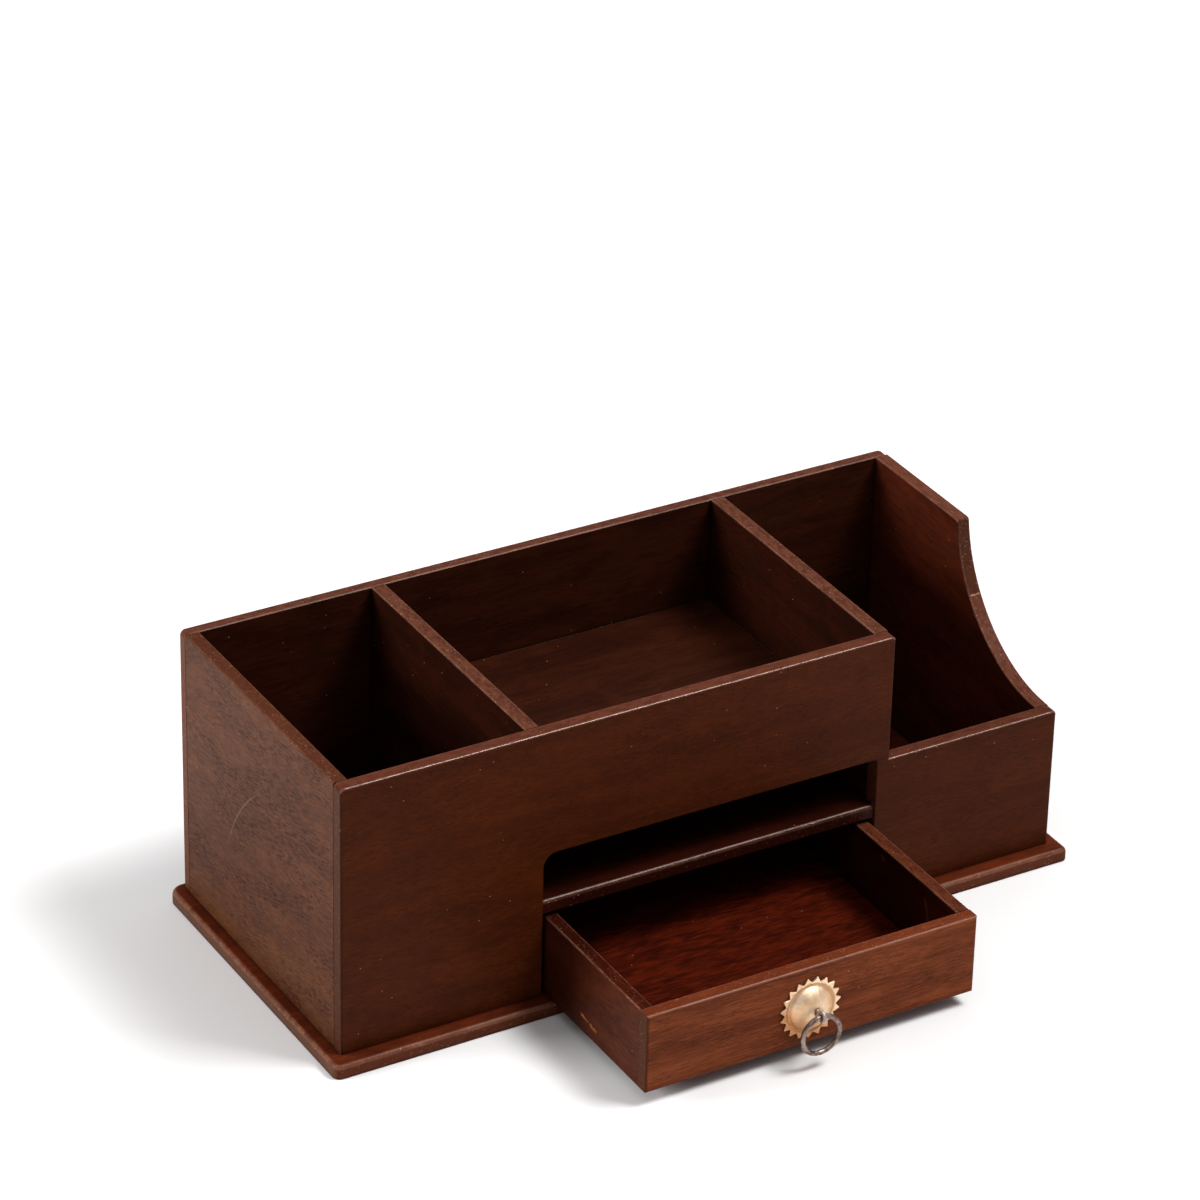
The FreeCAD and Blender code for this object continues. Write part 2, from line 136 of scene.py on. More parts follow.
# %% Lay the floor
floor_radius, floor_gap, floor_segments = 6.0, 0.02 * MM, 96


def link_mesh(name, mesh_builder):
    """Turns a finished bmesh into an object in the scene."""
    mesh = bpy.data.meshes.new(name)
    mesh_builder.to_mesh(mesh)
    mesh_builder.free()
    piece = bpy.data.objects.new(name, mesh)
    bpy.context.scene.collection.objects.link(piece)
    return piece


floor_builder = bmesh.new()
bmesh.ops.create_circle(floor_builder, cap_ends=True, segments=floor_segments, radius=floor_radius,
                        matrix=Matrix.Translation((0, 0, -floor_gap)))
floor = link_mesh("studio_floor", floor_builder)
floor_paint, tree = new_finish("matt_white_paint")
mottle = add(tree, "ShaderNodeTexNoise", {"Scale": 3.0, "Detail": 2.0})
tone = add(tree, "ShaderNodeMix", {0: mottle.outputs["Fac"], 6: to_linear("F0EFEE"), 7: to_linear("F4F3F3")},
           data_type="RGBA")
matt = add(tree, "ShaderNodeBsdfPrincipled", {"Base Color": tone.outputs[2], "Roughness": 0.9})
add(tree, "ShaderNodeOutputMaterial", {"Surface": matt.outputs[0]})
floor.data.materials.append(floor_paint)
print("floor across in m:", 2 * floor_radius)

# %% Set the lights
def hang_soft_box(name, place, aim, width, watts):
    """A square soft box that faces the point it is aimed at."""
    lamp = bpy.data.lights.new(name, "AREA")
    lamp.shape, lamp.size, lamp.energy = "SQUARE", width, watts
    box = bpy.data.objects.new(name, lamp)
    box.location = place
    box.rotation_euler = (Vector(aim) - Vector(place)).to_track_quat("-Z", "Y").to_euler()
    bpy.context.scene.collection.objects.link(box)


middle_of_stand = (0, -0.02, 0.06)
# name, place in m, width in m, power in W
SOFT_BOXES = [("overhead_soft_box", (1.25, -0.95, 2.75), 1.1, 86.0),
              ("left_soft_box", (-2.40, 0.82, 1.05), 0.9, 58.0),
              ("white_ceiling", (0, 0, 3.2), 6.0, 58.0)]
for name, place, width, watts in SOFT_BOXES:
    hang_soft_box(name, place, middle_of_stand, width, watts)
surround_strength = 0.24
surround = bpy.data.worlds.new("pale_surround")
surround.use_nodes = True
surround.node_tree.nodes["Background"].inputs["Color"].default_value = to_linear("F4F4F6")
surround.node_tree.nodes["Background"].inputs["Strength"].default_value = surround_strength
bpy.context.scene.world = surround
bpy.context.scene.view_settings.view_transform = "Standard"

# %% [markdown]
# ## Stained and lacquered hardwood
# The boards are a close-grained hardwood, planed, stained dark red-brown and coated with satin lacquer.
# The eye sees soft clouds of stain, short dark pores in clusters, and paler, smoother edges, where hands have
# rubbed the lacquer thin; the upper edges are also made paler as a painted highlight. A photograph wrapped
# round the boards would smear on their ends. Noise in three dimensions, stretched along the grain, gives
# streaks on the faces and dots on the ends, as wood has.

# %% Turn and stretch the wood's own space
GRAIN_TURNS = {"x": (0, 0, 0), "y": (0, 0, -math.pi / 2)}
NOISE_ROUGHNESS = 0.55


def grain_space(tree, along, shift, tilt_degrees):
    """Coordinates in millimetres whose X runs along the grain of this board."""
    place = add(tree, "ShaderNodeTexCoord", {}).outputs["Object"]
    lean = add(tree, "ShaderNodeMapping",
               {"Vector": place, "Rotation": (math.radians(tilt_degrees), 0, 0), "Scale": (1 / MM,) * 3})
    return add(tree, "ShaderNodeMapping", {"Vector": lean.outputs[0], "Rotation": GRAIN_TURNS[along],
                                           "Location": shift}).outputs[0]


def stretched_noise(tree, space, size, detail, distortion=0.0):
    """Noise whose marks have a size (along the grain, across it) in millimetres."""
    length, width = size
    stretched = add(tree, "ShaderNodeVectorMath", {0: space, 1: (1 / length, 1 / width, 1 / width)},
                    operation="MULTIPLY")
    noise = add(tree, "ShaderNodeTexNoise", {"Vector": stretched.outputs[0], "Scale": 1.0, "Detail": detail,
                                             "Roughness": NOISE_ROUGHNESS, "Distortion": distortion})
    return noise.outputs["Fac"]


print("grain can run along:", sorted(GRAIN_TURNS))

# %% Mix values and colours
def calculate(tree, operation, first, second=0.0):
    """One step of arithmetic on values or masks."""
    return add(tree, "ShaderNodeMath", {0: first, 1: second}, operation=operation).outputs[0]


def overlap(tree, first, second):
    """A mask where two masks overlap, or one mask weakened by a share."""
    return calculate(tree, "MULTIPLY", first, second)


def ramp(tree, value, low, high, out_low=0.0, out_high=1.0):
    """Stretches the part of a value between low and high, and clips the rest."""
    return add(tree, "ShaderNodeMapRange", {0: value, 1: low, 2: high, 3: out_low, 4: out_high},
               interpolation_type="SMOOTHSTEP").outputs[0]


def blend_colours(tree, share, first, second):
    """The first colour, with so much of the second laid over it."""
    return add(tree, "ShaderNodeMix", {0: share, 6: first, 7: second}, data_type="RGBA").outputs[2]


def split(tree, direction):
    """The X, Y and Z of a place or a direction."""
    return add(tree, "ShaderNodeSeparateXYZ", {0: direction}).outputs


def place_in_mm(tree):
    """Where a point is, in millimetres from the model's origin."""
    place = add(tree, "ShaderNodeTexCoord", {}).outputs["Object"]
    return add(tree, "ShaderNodeVectorMath", {0: place, "Scale": 1 / MM}, operation="SCALE").outputs[0]


mixers = (calculate, overlap, ramp, blend_colours, split, place_in_mm)
print("helpers for masks and colours:", [helper.__name__ for helper in mixers])

# %% [markdown]
# An edge wears where the surface turns. The Bevel node rounds the normals near an edge. On a broad face the
# normal points along the board's thickness, on a narrow edge across it, and a rounded one in between marks an
# arris. Hands polish the upper arrises, which shine, and their pale worn colour also serves as a painted
# highlight. A thin dark line of painted shade is drawn on the upright arrises at the front. The Ambient
# Occlusion node finds the corners where boards meet, and they get painted shade.

# %% Find the arrises, the narrow edges and the corners that get painted shade
ARRIS_REACH, CORNER_REACH = 1.0 * MM, 3.0 * MM
PROBE_SAMPLES = 6


def sizes_of(tree, direction):
    """How far a direction points along X, Y and Z, whichever way."""
    return split(tree, add(tree, "ShaderNodeVectorMath", {0: direction}, operation="ABSOLUTE").outputs[0])


def arris_masks(tree, thin):
    """One mask for the upper arrises and one for the upright ones at the front, which get painted shade."""
    rounded = add(tree, "ShaderNodeBevel", {"Radius": ARRIS_REACH}, samples=PROBE_SAMPLES).outputs[0]
    look = split(tree, rounded)
    thickness_share = sizes_of(tree, rounded)[thin]
    line = overlap(tree, ramp(tree, thickness_share, 0.10, 0.35), ramp(tree, thickness_share, 0.99, 0.85))
    upper = overlap(tree, line, ramp(tree, look[2], 0.05, 0.40))
    # the upright arrises at the front get painted shade
    shaded_upright = overlap(tree, calculate(tree, "SUBTRACT", line, upper), ramp(tree, look[1], -0.05, -0.35))
    return upper, shaded_upright


def corner_shade_mask(tree):
    """A mask of painted shade for the corners where boards meet."""
    openness = add(tree, "ShaderNodeAmbientOcclusion", {"Distance": CORNER_REACH}, samples=PROBE_SAMPLES)
    return ramp(tree, openness.outputs["AO"], 0.85, 0.42)


print("arris reach in mm:", ARRIS_REACH / MM, "corner reach in mm:", CORNER_REACH / MM)

# %% [markdown]
# Stain goes on each part a little differently: deep is where it soaked in, body where it lies thin, pore is the
# dark of the pores, rim a narrow edge and end a sawn end that shows. Two more colours serve all boards: wood
# worn pale under the fingers, which on the upper arrises is also a painted highlight, and dust.

# %% Mix the stains
# side is drawn lighter as a painted sheen; inside, partition, shelf, drawer_left, drawer_right and drawer_floor
# are drawn darker as painted shade of the hollows
STAINS = {
    "front": {"deep": "301004", "body": "502108", "pore": "1C0B04", "rim": "5B3022", "end": "3B2010"},
    "side": {"deep": "412418", "body": "623A22", "pore": "2A1008", "rim": "4A2214"},
    "right": {"deep": "34120A", "body": "582412", "pore": "1A0904", "rim": "613829"},
    "inside": {"deep": "220C06", "body": "3E1A0C", "pore": "140603", "rim": "5E3426", "end": "5E3426"},
    "partition": {"deep": "1A0904", "body": "341308", "pore": "100402", "rim": "613626"},
    "shelf": {"deep": "200703", "body": "351106", "pore": "120402", "rim": "2C0C05", "end": "2C0C05"},
    "base": {"deep": "3E170A", "body": "682A13", "pore": "220B05", "rim": "542C1C", "end": "573A2B"},
    "drawer": {"deep": "4E210F", "body": "824222", "pore": "34160A", "rim": "5E2714", "end": "331E0F"},
    "drawer_left": {"deep": "2A0D05", "body": "562612", "pore": "1A0703", "rim": "320802"},
    "drawer_right": {"deep": "220803", "body": "3A1107", "pore": "120401", "rim": "602D1A", "end": "602D1A"},
    "drawer_floor": {"deep": "2C0803", "body": "581A08", "pore": "140402", "rim": "4A1A0A", "end": "4A1A0A"},
}
# worn wood, which on the upper arrises also serves as a painted highlight, and dust
WORN_AND_HIGHLIGHT, DUST = to_linear("805643"), to_linear("C39A80")
print("stains:", sorted(STAINS))

# %% [markdown]
# The boards are finished alike, with small differences. These are the usual settings, and the list of boards
# further down names what is changed. Sizes are (along the grain, across it) in millimetres. A share runs from
# 0, where nothing shows, to 1.

# %% Usual look of a board
USUAL_LOOK = {
    # degrees by which the grain leans
    "tilt": 0.0,
    # broad bands and blotches of stain, fine streaks, and short dark pores
    "figure": (120.0, 13.0), "figure_share": 0.45, "cloud_share": 0.45,
    "streak": (24.0, 1.0), "streak_share": 0.3,
    "pore": (6.0, 0.6), "pore_share": 0.5, "pore_edge": (0.53, 0.63),
    # how far from the middle, in mm to the left or right, an end starts to show its own shade
    "end_from": 0.0,
    # rubbed and chipped arrises with painted highlights, painted shade on upright ones and in the corners
    "rubbed": 0.6, "chipped": 0.45, "upright_shade_share": 0.55, "corner_shade_share": 0.75,
    # shine of the upper arrises
    "gloss": 0.12, "edge_roughness": 0.30,
    "marks": None,
}
# sizes of stain clouds, pore clusters, mottle of the narrow edges, rubbed patches, chips and planing waves
CLOUD, CLUSTER, EDGE_MOTTLE, RUB, CHIP = (22.0, 11.0), (34.0, 12.0), (5.0, 2.2), (9.0, 4.0), (1.1, 0.9)
PLANING, PLANING_DEPTH, GRAIN_DEPTH = (60.0, 22.0), 0.35 * MM, 0.08 * MM
# the dust's grains are spread over cells of so many millimetres
DUST_CELL = 5.0
RIM_SHARE, END_SHARE, DUST_SHARE = 0.85, 0.75, 0.65
FLAT_GLOSS, LACQUER_IOR, LACQUER_TINT = 0.06, 1.5, to_linear("FAE2D8")
print("settings of a board:", len(USUAL_LOOK))

# %% Stain the grain
def stained_grain(tree, space, shades, look):
    """The stained wood, and its streaks and pores, which the lacquer follows."""
    contrast = look["figure_share"]
    bands = stretched_noise(tree, space, look["figure"], 3.0, 0.8)
    colour = blend_colours(tree, ramp(tree, bands, 0.32, 0.70, 0.5 - contrast / 2, 0.5 + contrast / 2),
                           shades["deep"], shades["body"])
    clouds = stretched_noise(tree, space, CLOUD, 4.0, 0.6)
    streaks = stretched_noise(tree, space, look["streak"], 3.0)
    for noise, deep_from, deep_to, body_from, body_to, share in (
            (clouds, 0.50, 0.68, 0.50, 0.34, look["cloud_share"]),
            (streaks, 0.48, 0.62, 0.46, 0.34, look["streak_share"])):
        colour = blend_colours(tree, ramp(tree, noise, deep_from, deep_to, 0.0, share), colour, shades["deep"])
        colour = blend_colours(tree, ramp(tree, noise, body_from, body_to, 0.0, share), colour, shades["body"])
    # real pores are 0.2 mm wide; they are drawn about 0.5 mm wide so that they show
    pores = ramp(tree, stretched_noise(tree, space, look["pore"], 2.0), *look["pore_edge"])
    pores = overlap(tree, pores, ramp(tree, stretched_noise(tree, space, CLUSTER, 3.0), 0.40, 0.60, 0.35, 1.0))
    return blend_colours(tree, overlap(tree, pores, look["pore_share"]), colour, shades["pore"]), streaks, pores


print("clouds of stain in mm:", CLOUD, "clusters of pores:", CLUSTER)

# %% Colour the narrow edges and the ends
def edges_and_ends(tree, space, shades, look, thin, colour):
    """Narrow edges are mottled, and ends that point left or right are darker. Also gives the narrow mask."""
    facing = sizes_of(tree, add(tree, "ShaderNodeNewGeometry", {}).outputs["Normal"])
    narrow = ramp(tree, facing[thin], 0.85, 0.45)
    mottle = ramp(tree, stretched_noise(tree, space, EDGE_MOTTLE, 4.0), 0.36, 0.60, RIM_SHARE / 2, RIM_SHARE)
    colour = blend_colours(tree, overlap(tree, narrow, mottle), colour, shades["rim"])
    if thin != "X":
        sideways = sizes_of(tree, add(tree, "ShaderNodeTexCoord", {}).outputs["Object"])["X"]
        past = ramp(tree, sideways, (look["end_from"] - 2) * MM, look["end_from"] * MM)
        end_share = overlap(tree, ramp(tree, facing["X"], 0.55, 0.9, 0.0, END_SHARE), past)
        colour = blend_colours(tree, end_share, colour, shades["end"])
    return colour, narrow


print("mottle of the narrow edges in mm:", EDGE_MOTTLE)

# %% Wear the arrises and let dust settle
def worn_and_dusty(tree, space, shades, look, thin, narrow, colour):
    """Worn arrises with painted highlights, chips, painted shade on upright arrises and corners, dust. Also
    gives the upper arrises.
    """
    upper, shaded_upright = arris_masks(tree, thin)
    rubbed = look["rubbed"]
    rub_and_highlight = ramp(tree, stretched_noise(tree, space, RUB, 4.0), 0.34, 0.62, rubbed * 0.35, rubbed)
    # the pale worn colour on the upper arrises is real wear and also a painted highlight
    colour = blend_colours(tree, overlap(tree, upper, rub_and_highlight), colour, WORN_AND_HIGHLIGHT)
    # painted shade: a thin dark line on the upright arrises at the front
    colour = blend_colours(tree, overlap(tree, shaded_upright, look["upright_shade_share"]), colour, shades["pore"])
    edge = calculate(tree, "MAXIMUM", upper, overlap(tree, narrow, 0.6))
    chips = overlap(tree, edge, ramp(tree, stretched_noise(tree, space, CHIP, 2.0), 0.62, 0.74))
    colour = blend_colours(tree, overlap(tree, chips, look["chipped"]), colour, DUST)
    # painted shade in the corners where boards meet, found by Ambient Occlusion
    colour = blend_colours(tree, overlap(tree, corner_shade_mask(tree), look["corner_shade_share"]), colour, shades["pore"])
    # grains of about 0.4 mm, in one cell of three, but in most cells of a narrow edge
    cells = add(tree, "ShaderNodeTexVoronoi", {"Vector": space, "Scale": 1 / DUST_CELL})
    chance = ramp(tree, narrow, 0.0, 1.0, 0.30, 0.80)
    chosen = calculate(tree, "LESS_THAN", split(tree, cells.outputs["Color"])[0], chance)
    grains = overlap(tree, ramp(tree, cells.outputs["Distance"], 0.055, 0.030), chosen)
    return blend_colours(tree, overlap(tree, grains, DUST_SHARE), colour, DUST), upper


print("rubbed patches in mm:", RUB, "chips:", CHIP)

# %% Coat a board with lacquer
def coated(tree, space, look, colour, upper, streaks, pores):
    """Satin lacquer that sinks a little into the grain and shines on the upper arrises."""
    sheen = ramp(tree, streaks, 0.3, 0.7, 0.42, 0.54)
    roughness = add(tree, "ShaderNodeMix", {0: upper, 2: sheen, 3: look["edge_roughness"]}, data_type="FLOAT")
    height = calculate(tree, "SUBTRACT", streaks, pores)
    grain = add(tree, "ShaderNodeBump", {"Height": height, "Strength": 0.35, "Distance": GRAIN_DEPTH})
    bump = add(tree, "ShaderNodeBump", {"Height": stretched_noise(tree, space, PLANING, 1.0), "Strength": 0.6,
                                        "Distance": PLANING_DEPTH, "Normal": grain.outputs[0]})
    lacquer = add(tree, "ShaderNodeBsdfPrincipled",
                  {"Base Color": colour, "Roughness": roughness.outputs[0], "IOR": LACQUER_IOR,
                   "Specular Tint": LACQUER_TINT, "Normal": bump.outputs[0],
                   "Specular IOR Level": ramp(tree, upper, 0.0, 1.0, FLAT_GLOSS, look["gloss"])})
    add(tree, "ShaderNodeOutputMaterial", {"Surface": lacquer.outputs[0]})


def lacquered_board(name, stain, along, thin, seed, options):
    """Stained hardwood under satin lacquer, for one board, with its own piece of grain."""
    look = {**USUAL_LOOK, **options}
    shades = {part: to_linear(code) for part, code in STAINS[stain].items()}
    finish, tree = new_finish(name)
    draw = random.Random(seed)
    shift = tuple(draw.uniform(-900, 900) for _ in range(3))
    space = grain_space(tree, along, shift, look["tilt"])
    colour, streaks, pores = stained_grain(tree, space, shades, look)
    colour, narrow = edges_and_ends(tree, space, shades, look, thin, colour)
    if look["marks"]:
        colour = look["marks"](tree, colour)
    colour, upper = worn_and_dusty(tree, space, shades, look, thin, narrow, colour)
    coated(tree, space, look, colour, upper, streaks, pores)
    return finish


def finish_node(node, finish):
    """Gives a board of the frame its finish, in the slots it came with."""
    board = frame["nodes"][node]
    if not board.material_slots:
        board.data.materials.append(finish)
    for place in board.material_slots:
        place.material = finish


print("waves left by planing in mm:", PLANING)

# %% [markdown]
# The stand has been used. Something hard drew a pale arc on the left side, the drawer's left side has lost a
# sliver down to raw wood, its right side is scuffed, and the scoop shows a hairline where its filler has
# cracked. Each mark is the distance from a line or an arc, and a little noise frays the lines. Where the
# drawer's side runs into the case, it is painted darker, as painted shade from the case.

# %% Marks of use
def near_line(tree, place, start, end, half_width):
    """A mask along the straight line between two points in millimetres."""
    start, span = Vector(start), Vector(end) - Vector(start)
    from_start = add(tree, "ShaderNodeVectorMath", {0: place, 1: tuple(start)}, operation="SUBTRACT").outputs[0]
    share = add(tree, "ShaderNodeVectorMath", {0: from_start, 1: tuple(span / span.length_squared)},
                operation="DOT_PRODUCT").outputs["Value"]
    share = add(tree, "ShaderNodeClamp", {0: share}).outputs[0]
    nearest = add(tree, "ShaderNodeVectorMath", {0: tuple(span), "Scale": share}, operation="SCALE").outputs[0]
    distance = add(tree, "ShaderNodeVectorMath", {0: from_start, 1: nearest}, operation="DISTANCE")
    fray = add(tree, "ShaderNodeTexNoise", {"Vector": place, "Scale": 0.7, "Detail": 3.0}).outputs["Fac"]
    frayed = calculate(tree, "ADD", distance.outputs["Value"],
                       ramp(tree, fray, 0.3, 0.7, -half_width * 0.5, half_width * 0.5))
    return ramp(tree, frayed, half_width, half_width * 0.3)


def side_marks(tree, colour):
    """A pale arc on the left side that fades at both ends."""
    arc_centre, arc_radius = (-172.5, -47.6, 26.1), 80.6
    place = place_in_mm(tree)
    reach = add(tree, "ShaderNodeVectorMath", {0: place, 1: arc_centre}, operation="DISTANCE").outputs["Value"]
    off_arc = calculate(tree, "ABSOLUTE", calculate(tree, "SUBTRACT", reach, arc_radius))
    height = split(tree, place)[2]
    arc = overlap(tree, ramp(tree, off_arc, 0.5, 0.15), ramp(tree, height, 50.0, 62.0, 0.0, 0.22))
    arc = overlap(tree, arc, ramp(tree, height, 92.0, 84.0))
    return blend_colours(tree, arc, colour, to_linear("A08068"))


def scoop_marks(tree, colour):
    """A hairline across the scoop, and the darker part of the scoop above it."""
    crack_y, crack_z = -11.6, 101.0
    place = place_in_mm(tree)
    crack = near_line(tree, place, (165.5, crack_y, crack_z), (173.0, crack_y, crack_z), 0.45)
    forward = split(tree, add(tree, "ShaderNodeNewGeometry", {}).outputs["Normal"])[1]
    height = split(tree, place)[2]
    above = overlap(tree, ramp(tree, forward, -0.3, -0.6),
                    ramp(tree, height, crack_z - 0.5, crack_z + 0.5, 0.0, 0.6))
    colour = blend_colours(tree, above, colour, to_linear("341A10"))
    return blend_colours(tree, overlap(tree, crack, 0.6), colour, to_linear("B08A74"))


def drawer_left_marks(tree, colour):
    """Painted shade towards the case, and a sliver of raw wood near the lower edge."""
    place = place_in_mm(tree)
    backward = split(tree, place)[1]
    # painted shade: the side grows darker towards the case
    colour = blend_colours(tree, ramp(tree, backward, -118.0, -92.0, 0.0, 0.6), colour, to_linear("220602"))
    sliver = near_line(tree, place, (-77.6, -102.5, 14.4), (-77.6, -114.0, 12.7), 0.8)
    return blend_colours(tree, overlap(tree, sliver, 0.75), colour, to_linear("A45F2C"))


def drawer_right_marks(tree, colour):
    """Two short scuffs on the inner face of the drawer's right side."""
    place = place_in_mm(tree)
    scuffs = calculate(tree, "MAXIMUM", near_line(tree, place, (73.8, -91.0, 40.0), (73.8, -93.0, 38.6), 1.0),
                       near_line(tree, place, (73.8, -124.7, 37.5), (73.8, -127.8, 28.5), 0.8))
    return blend_colours(tree, overlap(tree, scuffs, 0.35), colour, to_linear("7A4A30"))


board_marks = (side_marks, scoop_marks, drawer_left_marks, drawer_right_marks)
print("marks of use:", [mark.__name__ for mark in board_marks])

# %% [markdown]
# Each board was cut from its own plank, so each gets its own piece of the grain. It runs along the board's
# longer side: from left to right in the front, back, base, shelf and tray, and from front to back in the sides.

# %% Finish the boards
# node, stain, grain along, thickness along, and what differs from the usual look
BOARDS = [
    ("base_board", "base", "x", "Z", {"gloss": 0.08, "streak": (14.0, 0.9)}),
    ("left_side", "side", "y", "X", {
        "tilt": 6.5, "pore": (3.4, 0.5), "pore_share": 0.9, "pore_edge": (0.49, 0.57), "streak": (6.0, 0.7),
        "streak_share": 0.25, "cloud_share": 0.35, "upright_shade_share": 0.0, "corner_shade_share": 0.3, "rubbed": 0.2,
        "marks": side_marks}),
    ("right_side", "right", "y", "X", {"tilt": -4.0, "marks": scoop_marks}),
    ("back_panel", "inside", "x", "Y", {"tilt": 2.0, "gloss": 0.2}),
    ("front_panel", "front", "x", "Y", {
        "tilt": 1.0, "cloud_share": 0.3, "figure_share": 0.3, "streak": (5.0, 0.6), "streak_share": 0.35,
        "pore": (2.6, 0.5), "gloss": 0.55, "edge_roughness": 0.22, "rubbed": 0.3, "chipped": 0.3,
        "corner_shade_share": 0.3, "end_from": 160.0}),
    ("left_partition", "partition", "y", "X", {}),
    ("right_partition", "partition", "y", "X", {}),
    ("tray_floor", "inside", "x", "Z", {}),
    ("slot_shelf", "shelf", "x", "Z", {"gloss": 0.2, "edge_roughness": 0.22, "chipped": 0.35, "rubbed": 0.2}),
    ("drawer_front", "drawer", "x", "Y", {
        "figure": (90.0, 7.0), "figure_share": 0.65, "cloud_share": 0.2, "streak": (10.0, 0.6),
        "streak_share": 0.5, "pore": (3.0, 0.5), "gloss": 0.2}),
    ("drawer_left_side", "drawer_left", "y", "X", {
        "streak": (6.0, 0.8), "figure_share": 0.3, "gloss": 0.06, "marks": drawer_left_marks}),
    ("drawer_right_side", "drawer_right", "y", "X", {"gloss": 0.06, "marks": drawer_right_marks}),
    ("drawer_back", "drawer_right", "x", "Y", {}),
    ("drawer_bottom", "drawer_floor", "x", "Z", {
        "figure": (16.0, 4.0), "figure_share": 0.8, "streak": (8.0, 0.9), "streak_share": 0.6}),
]
for seed, (node, stain, along, thin, options) in enumerate(BOARDS):
    finish_node(node, lacquered_board(node + "_lacquered_wood", stain, along, thin, seed, options))
print("boards finished:", len(BOARDS), "with marks:", sum("marks" in board[4] for board in BOARDS))

# %% [markdown]
# ## Bright steel brads
# Thin pins hold the boards. Only their blunt ends reach a surface, under the base and on the back, where they
# were driven flush. Drawn steel is grey and fairly smooth, with fine marks and a thin skin of oxide in patches.

# %% Finish the brads
def drawn_steel(name, bright, dull, roughness, mark_mm):
    """Steel wire as drawn: fine marks, and patches of oxide three times as large."""
    finish, tree = new_finish(name)
    place = place_in_mm(tree)
    oxide = stretched_noise(tree, place, (mark_mm * 3, mark_mm * 3), 4.0)
    marks = stretched_noise(tree, place, (mark_mm, mark_mm), 3.0)
    colour = blend_colours(tree, ramp(tree, oxide, 0.35, 0.65), to_linear(dull), to_linear(bright))
    colour = blend_colours(tree, ramp(tree, marks, 0.55, 0.75, 0.0, 0.45), colour, to_linear(dull))
    bump = add(tree, "ShaderNodeBump", {"Height": marks, "Strength": 0.35, "Distance": 0.12 * MM})
    metal = add(tree, "ShaderNodeBsdfPrincipled",
                {"Base Color": colour, "Metallic": 1.0, "Normal": bump.outputs[0],
                 "Roughness": ramp(tree, marks, 0.3, 0.7, roughness - 0.06, roughness + 0.10)})
    add(tree, "ShaderNodeOutputMaterial", {"Surface": metal.outputs[0]})
    return finish


brad_finish = drawn_steel("brad_drawn_steel", "A8A8A6", "6E6C68", 0.34, 0.8)
brad_groups = ("base_brads", "back_brads", "partition_brads", "drawer_brads")
for node in brad_groups:
    finish_node(node, brad_finish)
print("brad groups finished:", len(brad_groups))

# %% [markdown]
# ## The rosette
# A disc of thin brass was pressed into a low dome with a groove round its foot, and its rim cut into teeth.
# A plain turned shape would miss the teeth, and a cut-out disc would miss the dome, so the mesh is built from
# columns that run from the eye's slot to the rim: one column for each point of the toothed outline.

# %% Measure the rosette
hinge = next(joint for joint in frame["joints"] if joint["name"] == "ring_swing")
eye_place = Vector(hinge["pos_m"])
front_face_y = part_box("drawer_front")[0].y
rosette_drop = 0.8
rosette_centre = Vector((eye_place.x, front_face_y, eye_place.z - rosette_drop * MM))

dome_height, dome_radius, sheet = 5.9, 10.2, 0.8
shoulder_radius, foot_angle = 3.8, math.radians(68.0)
groove_end, groove_depth = 11.5, 0.35
root_radius, tip_radius, teeth = 12.3, 14.6, 19
slot_half_width, slot_half_height = 0.95, 1.8

shoulder_x = dome_radius - shoulder_radius * math.sin(foot_angle)
shoulder_height = sheet - shoulder_radius * math.cos(foot_angle)
rise = dome_height - shoulder_height
crown_radius = (shoulder_x ** 2 + rise ** 2 - shoulder_radius ** 2) / (2 * (rise - shoulder_radius))
crown_height = dome_height - crown_radius
meeting_angle = math.atan2(shoulder_x, shoulder_height - crown_height)
meeting_radius = crown_radius * math.sin(meeting_angle)
print("crown radius in mm:", round(crown_radius, 2), "meets the shoulder at", round(meeting_radius, 2))

# %% Give the height of the pressed sheet at a radius
def pressed_height(radius):
    """Crown, shoulder, groove and flat rim, from the middle outwards."""
    if radius < meeting_radius:
        return crown_height + math.sqrt(crown_radius ** 2 - radius ** 2)
    if radius < dome_radius:
        return shoulder_height + math.sqrt(shoulder_radius ** 2 - (radius - shoulder_x) ** 2)
    if radius < groove_end:
        share = (radius - dome_radius) / (groove_end - dome_radius)
        return sheet - groove_depth * math.sin(math.pi * share)
    return sheet


print("height over the drawer in mm, middle and rim:", dome_height, pressed_height(tip_radius))

# %% Cut the toothed outline
cutter = random.Random(19)
first_tooth = math.radians(2.6)
uneven_lean, uneven_tip = 0.05, 0.25
root_share, tip_share, tip_rounding = 0.46, 0.04, 0.06
outline = []
pitch = 2 * math.pi / teeth
for tooth in range(teeth):
    middle = first_tooth + tooth * pitch
    lean = cutter.uniform(-uneven_lean, uneven_lean) * pitch
    tip = tip_radius + cutter.uniform(-uneven_tip, 0.0)
    root_before = (root_radius, middle - root_share * pitch)
    root_after = (root_radius, middle + root_share * pitch)
    tip_before = (tip - tip_rounding, middle + lean - tip_share * pitch)
    tip_after = (tip - tip_rounding, middle + lean + tip_share * pitch)
    corners = [root_before, tip_before, (tip, middle + lean), tip_after, root_after]
    outline.append((root_radius - 0.05, middle - 0.5 * pitch, 0.0))
    for (start_radius, start_angle), (end_radius, end_angle) in zip(corners, corners[1:]):
        steps = 4 if abs(end_radius - start_radius) > 1 else 1
        start = Vector((math.cos(start_angle), math.sin(start_angle))) * start_radius
        end = Vector((math.cos(end_angle), math.sin(end_angle))) * end_radius
        for step in range(steps):
            spot = start.lerp(end, step / steps)
            outline.append((spot.length, math.atan2(spot.y, spot.x),
                            (spot.length - root_radius) / (tip_radius - root_radius)))
    outline.append((root_radius, root_after[1], 0.0))
print("points round the rim:", len(outline))

